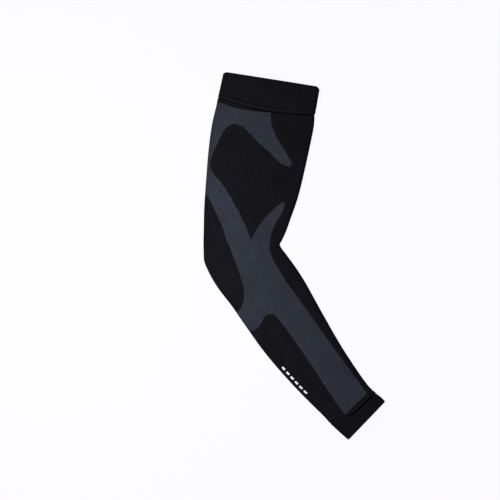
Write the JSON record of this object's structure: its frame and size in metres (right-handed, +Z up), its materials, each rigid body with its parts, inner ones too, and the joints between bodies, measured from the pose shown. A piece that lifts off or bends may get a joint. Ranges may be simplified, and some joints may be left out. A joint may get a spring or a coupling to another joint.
{
  "type": "arm compression sleeve",
  "caption": "Knitted compression sleeve for an arm, lying flat with its elbow bent: a tapering tube with a turned band at the upper arm and at the wrist.",
  "frame": {"origin": "on the surface it lies on, under the middle of the sleeve's own box", "axes": "+Z up from the surface, +Y towards the upper-arm end, and the wrist lies towards +X and -Y"},
  "size_m": [0.198, 0.401, 0.012],
  "materials": {
    "band_knit": "matt black double-knit band",
    "body_knit": "matt black and dark grey zoned knit"
  },
  "bodies": {
    "root": {"upper_band": "band_knit", "knit_tube": "body_knit", "wrist_band": "band_knit"}
  },
  "joints": []
}
